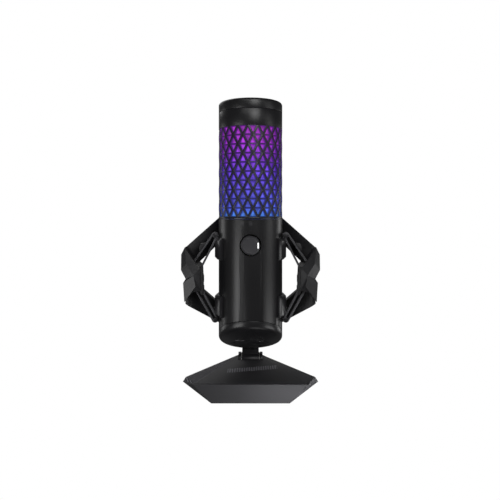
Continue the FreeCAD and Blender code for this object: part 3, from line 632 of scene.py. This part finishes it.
lattice = {"rows": 10, "columns": 20, "rowHeight": 8.03 * mm, "bottom": 159.4 * mm, "turn": 4.4,
           "backRadius": 27.7 * mm, "holeWidth": 0.62, "holeHeight": 0.74, "holeBase": 0.45 * mm,
           "taperWidth": 0.7, "taperHeight": 0.76, "taperAt": 0.36, "edge": 0.1 * mm, "edgeAngle": 35,
           "weld": 0.02 * mm, "margin": 0.2 * mm}
clearSelection()
bpy.ops.mesh.primitive_circle_add(vertices=3, radius=1.0, fill_type="NGON", location=(0, 0, 0))
sleeve = bpy.context.object
halfColumn = math.pi / lattice["columns"]
rowHeight = lattice["rowHeight"]
cellWidth = 2 * tubeRadius * math.sin(halfColumn)
cellLean = tubeRadius * (1 - math.cos(halfColumn))
cellSlope = math.hypot(rowHeight, cellLean)
sleeve.scale = (cellWidth / math.sqrt(3), cellSlope / 1.5, 1)
settle(sleeve, "latticeSleeve")
sleeve.rotation_euler = (math.pi / 2 + math.asin(cellLean / cellSlope), 0, 0)
settle(sleeve, "latticeSleeve")
lowest = min(point.co.z for point in sleeve.data.vertices)
nearest = max(point.co.y for point in sleeve.data.vertices)
sleeve.location = (0, cellLean - tubeRadius - nearest, -lowest)
settle(sleeve, "latticeSleeve")

edit(sleeve, "SELECT")
bpy.ops.mesh.extrude_region_move(TRANSFORM_OT_translate={"value": (0, 0, 0)})
bpy.ops.transform.resize(value=(lattice["holeWidth"], 1, lattice["holeHeight"]),
                         center_override=(0, 0, lattice["holeBase"] / (1 - lattice["holeHeight"])))
selectFaces(sleeve, lambda face: len(face.vertices) == 3)
bpy.ops.mesh.delete(type="FACE")
bpy.ops.mesh.select_all(action="SELECT")
bpy.ops.mesh.duplicate()
backShare = lattice["backRadius"] / tubeRadius
bpy.ops.transform.resize(value=(backShare, backShare, 1), center_override=(0, 0, 0))
bpy.ops.mesh.flip_normals()
halfWay = -tubeRadius * (1 + backShare) / 2


def isHole(a, b):
    # an edge between two corners of the hole, in front or behind
    inside = [lattice["margin"] < point.z < rowHeight - lattice["margin"] for point in (a, b)]
    return all(inside) and (a.y - halfWay) * (b.y - halfWay) > 0


selectEdges(sleeve, lambda a, b: isHole(a, b) and a.y > halfWay)
bpy.ops.transform.resize(value=(lattice["taperWidth"], 1, lattice["taperHeight"]),
                         center_override=(0, 0, rowHeight * lattice["taperAt"]))
selectEdges(sleeve, isHole)
bpy.ops.mesh.bridge_edge_loops()
bpy.ops.mesh.select_all(action="SELECT")
bpy.ops.mesh.normals_make_consistent(inside=False)
done()
edit(sleeve, "SELECT")
bpy.ops.mesh.duplicate()
bpy.ops.transform.resize(value=(1, 1, -1), center_override=(0, 0, rowHeight / 2))
bpy.ops.mesh.flip_normals()
bpy.ops.transform.rotate(value=halfColumn, orient_axis="Z", center_override=(0, 0, 0))
done()


def stepCopies(piece, count, turn, lift):
    # copies round the axis and upwards, welded where they meet
    clearSelection()
    bpy.ops.object.empty_add(location=(0, 0, lift), rotation=(0, 0, turn))
    step = bpy.context.object
    apply(piece, "ARRAY", count=count, use_relative_offset=False, use_object_offset=True,
          offset_object=step, use_merge_vertices=True, merge_threshold=lattice["weld"])
    bpy.data.objects.remove(step)


stepCopies(sleeve, lattice["columns"], 2 * halfColumn, 0)
stepCopies(sleeve, lattice["rows"], halfColumn, rowHeight)
edit(sleeve, "SELECT", "VERT")
bpy.ops.mesh.remove_doubles(threshold=lattice["weld"])
done()
for height in (0, lattice["rows"] * rowHeight):
    selectEdges(sleeve, lambda a, b: max(abs(a.z - height), abs(b.z - height)) < near / 10)
    bpy.ops.mesh.bridge_edge_loops()
    done()
sleeve.rotation_euler = (0, 0, math.radians(lattice["turn"]))
sleeve.location = (0, 0, lattice["bottom"])
settle(sleeve, "latticeSleeve")
edit(sleeve, "SELECT")
bpy.ops.mesh.normals_make_consistent(inside=False)
done()
apply(sleeve, "BEVEL", width=lattice["edge"], segments=1, limit_method="ANGLE",
      angle_limit=math.radians(lattice["edgeAngle"]))
finishOff(sleeve, "microphone", "grille_metal", "grille")

band = {"edge": 0.2 * mm, "wall": 1.8 * mm}
latticeTop = lattice["bottom"] + lattice["rows"] * rowHeight
for bandName, low, high in (("sleeveFoot", sleeveLow.z, lattice["bottom"]),
                            ("sleeveHead", latticeTop, sleeveHigh.z)):
    ring = cylinder(tubeRadius, low, high, tube["sides"], ends="NOTHING")
    apply(ring, "SOLIDIFY", thickness=band["wall"], offset=-1.0)
    soften(ring, band["edge"])
    finishOff(settle(ring, bandName), "microphone", "satin_black", "grille")

foam = {"radius": 26.8 * mm, "wall": 2.2 * mm, "sides": 120, "low": 160.2 * mm, "high": 243.0 * mm,
        "edge": 0.3 * mm}
foamSleeve = cylinder(foam["radius"], foam["low"], foam["high"], foam["sides"], ends="NOTHING")
apply(foamSleeve, "SOLIDIFY", thickness=foam["wall"], offset=-1.0)
soften(foamSleeve, foam["edge"])
finishOff(settle(foamSleeve, "foamSleeve"), "microphone", "foam", "pop_filter")
print("lattice sleeve modelled:", len(sleeve.data.polygons), "faces")


# the gain knob: toothed side, bevelled front, dished face with a slot for the index lens, whose white glow
# is a painted glint

knob = {"radius": 8.5 * mm, "face": 7.2 * mm, "front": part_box("gain_knob")[0].y, "back": -26.4 * mm,
        "teeth": 24, "toothDepth": 0.965, "rim": 0.5 * mm, "step": 0.25 * mm, "dish": 0.15 * mm,
        "slot": (6.15 * mm, 7.3 * mm), "slotHalf": 2.45 * mm, "slotDepth": 0.9 * mm, "slotAhead": 1 * mm,
        "edge": 0.12 * mm, "edgeAngle": 20}
knobHeight = tube["knobHeight"]
knobAxis = Vector((0, 0, knobHeight))
chamfer = knob["radius"] - knob["face"]
gainKnob = cylinder(knob["radius"], knob["front"] + chamfer, knob["back"], 2 * knob["teeth"], axis="Y",
                    center=(0, knobHeight))


def isTooth(a, b):
    around = math.atan2(a.z - knobHeight, a.x) / (math.pi / knob["teeth"])
    return abs(a.y - b.y) > 1 * mm and round(around - 0.5) % 2 == 0


selectEdges(gainKnob, isTooth)
bpy.ops.transform.resize(value=(knob["toothDepth"], 1, knob["toothDepth"]), center_override=knobAxis)
selectFaces(gainKnob, lambda face: face.normal.y < -0.9)
bpy.ops.mesh.inset(thickness=chamfer, depth=chamfer)
bpy.ops.mesh.inset(thickness=knob["rim"])
bpy.ops.mesh.inset(thickness=knob["step"], depth=-knob["dish"])
done()
slotInner, slotOuter = knob["slot"]
cutWith(gainKnob, block((slotInner, knob["front"] - knob["slotAhead"], knobHeight - knob["slotHalf"]),
                        (slotOuter, knob["front"] + knob["slotDepth"], knobHeight + knob["slotHalf"])))
soften(gainKnob, knob["edge"], 2, knob["edgeAngle"])
finishOff(settle(gainKnob, "gainKnob"), "knob", "knob_black", "gain_knob")
print("knob modelled")


# edges of the moulded and cast parts

edges = {"wing": 0.35 * mm, "block": 0.3 * mm, "pad": 0.35 * mm, "casting": 0.45 * mm, "small": 0.25 * mm,
         "fine": 0.1 * mm, "facetAngle": 9.0}


def edgedCopy(nodeName, name, slot, width, segments=2, angle=30.0):
    body = frame["nodes"][nodeName]["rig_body"]
    piece = copyOf(nodeName, name)
    soften(piece, width, segments, angle)
    return finishOff(piece, body, slot, nodeName)


for side in ("right", "left"):
    word = side.capitalize()
    edgedCopy("wing_" + side, "wing" + word, "wing_black", edges["wing"])
    edgedCopy("wing_block_" + side, "wingBlock" + word, "wing_grey", edges["block"], 2, edges["facetAngle"])
    edgedCopy("cord_holder_" + side, "cordHolder" + word, "holder_black", edges["small"])
    edgedCopy("hook_pad_upper_" + side, "hookPadUpper" + word, "pad_grey", edges["pad"])
    edgedCopy("hook_pad_lower_" + side, "hookPadLower" + word, "pad_grey", edges["pad"])
edgedCopy("spine", "spinePost", "bracket_black", edges["casting"])
edgedCopy("lock_ring", "lockRing", "bracket_black", edges["small"])
edgedCopy("neck", "hingedNeck", "bracket_black", edges["casting"])
edgedCopy("hinge_bracket", "hingeBracket", "bracket_black", edges["fine"])
edgedCopy("base_shell", "footCasting", "cast_black", edges["casting"], 3, edges["facetAngle"])
print("moulded and cast parts edged")


# elastic loops: round both pegs, down the outer run and up the inner run

# places across and up are in millimetres
loop = {"radius": 1.0 * mm, "roundness": 3, "plane": -6 * mm, "onPeg": 2.1 * mm, "upperPeg": (32.4, 142.4),
        "lowerPeg": (32.4, 65.4), "outer": ((52.4, 117.0), (50.6, 93.4)),
        "inner": ((43.6, 90.6), (45.4, 112.4)), "corner": 4.0, "step": 1.5, "pegSteps": 14,
        "cornerSteps": 8}


def touchPoint(peg, outside, side):
    across, up = outside[0] - peg[0], outside[1] - peg[1]
    radius = loop["onPeg"] / mm
    angle = math.atan2(up, across) + side * math.acos(radius / math.hypot(across, up))
    return Vector((peg[0] + radius * math.cos(angle), peg[1] + radius * math.sin(angle)))


def roundPeg(peg, before, after):
    # clockwise round the peg, from the point that the run reaches to the point where the next one leaves
    first, last = [math.atan2(point.y - peg[1], point.x - peg[0]) for point in (before, after)]
    if last > first:
        last -= 2 * math.pi
    count = loop["pegSteps"]
    radius = loop["onPeg"] / mm
    angles = [first + (last - first) * i / count for i in range(count + 1)]
    return [Vector((peg[0] + radius * math.cos(a), peg[1] + radius * math.sin(a))) for a in angles]


def roundCorner(before, corner, after):
    corner = Vector(corner)
    back, ahead = (Vector(before) - corner).normalized(), (Vector(after) - corner).normalized()
    half = back.angle(ahead) / 2
    reach = loop["corner"] / math.tan(half)
    start, end = corner + back * reach, corner + ahead * reach
    middle = corner + (back + ahead).normalized() * loop["corner"] / math.sin(half)
    points = []
    for i in range(loop["cornerSteps"] + 1):
        way = (start - middle).lerp(end - middle, i / loop["cornerSteps"]).normalized()
        points.append(middle + way * loop["corner"])
    return points


def loopRoute():
    topOut, lowOut = loop["outer"]
    lowIn, topIn = loop["inner"]
    leaveUp, reachUp = touchPoint(loop["upperPeg"], topOut, 1), touchPoint(loop["upperPeg"], topIn, -1)
    reachLow, leaveLow = touchPoint(loop["lowerPeg"], lowOut, -1), touchPoint(loop["lowerPeg"], lowIn, 1)
    corners = roundPeg(loop["upperPeg"], reachUp, leaveUp)
    corners += roundCorner(leaveUp, topOut, lowOut) + roundCorner(topOut, lowOut, reachLow)
    corners += roundPeg(loop["lowerPeg"], reachLow, leaveLow)
    corners += roundCorner(leaveLow, lowIn, topIn) + roundCorner(lowIn, topIn, reachUp)
    route = []
    for here, following in zip(corners, corners[1:] + corners[:1]):
        steps = max(1, round((following - here).length / loop["step"]))
        route += [here.lerp(following, i / steps) for i in range(steps)]
    return route


route = loopRoute()
for side, sign in (("right", 1), ("left", -1)):
    curve = bpy.data.curves.new("elasticLoop" + side.capitalize(), "CURVE")
    curve.dimensions = "3D"
    curve.bevel_depth = loop["radius"]
    curve.bevel_resolution = loop["roundness"]
    spline = curve.splines.new("POLY")
    spline.points.add(len(route) - 1)
    for point, place in zip(spline.points, route):
        point.co = (sign * place.x * mm, loop["plane"], place.y * mm, 1)
    spline.use_cyclic_u = True
    elastic = bpy.data.objects.new(curve.name, curve)
    bpy.context.collection.objects.link(elastic)
    pick(elastic)
    bpy.ops.object.convert(target="MESH")
    elastic = bpy.context.object
    edit(elastic, "SELECT", "VERT")
    bpy.ops.mesh.remove_doubles(threshold=near)
    bpy.ops.mesh.normals_make_consistent(inside=False)
    done()
    bpy.ops.object.shade_smooth()
    elastic.data.materials.clear()
    elastic.data.materials.append(finishes["elastic"])
    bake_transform(elastic)
    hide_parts("elastic_loop_" + side)
print("elastic loops modelled")


# floor, backdrop and lights

studio = {"floorSize": 6.0, "floorDrop": 0.2 * mm, "paper": 1.0, "fill": 0.07,
          "middle": (0, 0, 120 * mm)}
clearSelection()
bpy.ops.mesh.primitive_plane_add(size=studio["floorSize"], location=(0, 0, -studio["floorDrop"]))
floor = settle(bpy.context.object, "floor")
paper = Finish("palePaper")
paper.set(Base_Color=(0, 0, 0, 1), Roughness=1.0, Specular_IOR_Level=0.0,
          Emission_Color=gray(studio["paper"]), Emission_Strength=1.0)
floor.data.materials.append(paper.material)
floor.visible_diffuse = floor.visible_glossy = floor.visible_shadow = False

# the backdrop is as pale as the floor, and only a faint fill reaches the object from it
world = bpy.data.worlds.new("studioAir")
bpy.context.scene.world = world
air = Finish("studioAir", world)
air.tree.nodes.remove(air.tree.nodes["Background"])
fill = air.add("ShaderNodeBackground", {}, {"Color": gray(1.0), "Strength": studio["fill"]})
backdrop = air.add("ShaderNodeBackground", {}, {"Color": gray(1.0), "Strength": studio["paper"]})
seen = air.add("ShaderNodeLightPath")
air.plug(air.tree.nodes["World Output"].inputs["Surface"],
         air.add("ShaderNodeMixShader", {}, {0: seen, 1: fill, 2: backdrop}))


# each light: degrees round from the front to the right, degrees up, distance, size, brightness as seen
# from the object, then if need be the point that it is aimed at and the spread of its beam
softboxes = {
    "lowLeft": (-43, -16, 0.8, (0.40, 0.44), 3.3),
    "lowRight": (70, -24, 0.8, (0.42, 0.28), 2.9),
    "sideRight": (72, 3, 0.8, (0.36, 0.17), 1.4),
    "highFront": (16, 26, 0.8, (0.34, 0.30), 4.4),
    "highRight": (62, 18, 0.8, (0.4, 0.2), 0.7),
    "under": (42, -62, 0.8, (0.5, 0.3), 1.3),
    "footFront": (52, -8, 0.12, (0.05, 0.04), 2.6, (0.034, -0.04, 0.008), 26),
    "topFront": (0, 38, 0.8, (0.7, 0.2), 1.6),
    "behind": (180, 19, 1.0, (1.1, 0.22), 0.25, (0, 0, 0.02)),
    "rimLeft": (-115, -5, 0.8, (0.3, 0.4), 1.5),
    "rimRight": (125, -8, 0.8, (0.25, 0.4), 2.0),
    "overhead": (-150, 42, 1.0, (0.9, 0.7), 1.2),
}


def softbox(name, around, up, distance, size, brightness, aim=studio["middle"], spread=180):
    turn, rise = math.radians(around), math.radians(up)
    away = Vector((math.sin(turn) * math.cos(rise), -math.cos(turn) * math.cos(rise), math.sin(rise)))
    clearSelection()
    bpy.ops.object.light_add(type="AREA", location=Vector(aim) + away * distance)
    light = bpy.context.object
    light.name = name
    light.data.shape = "RECTANGLE"
    light.data.size, light.data.size_y = size
    light.data.energy = brightness * math.pi * size[0] * size[1]
    light.data.spread = math.radians(spread)
    light.rotation_euler = (-away).to_track_quat("-Z", "Y").to_euler()
    light.visible_camera = False


for name, values in softboxes.items():
    softbox(name, *values)
print("studio lit")
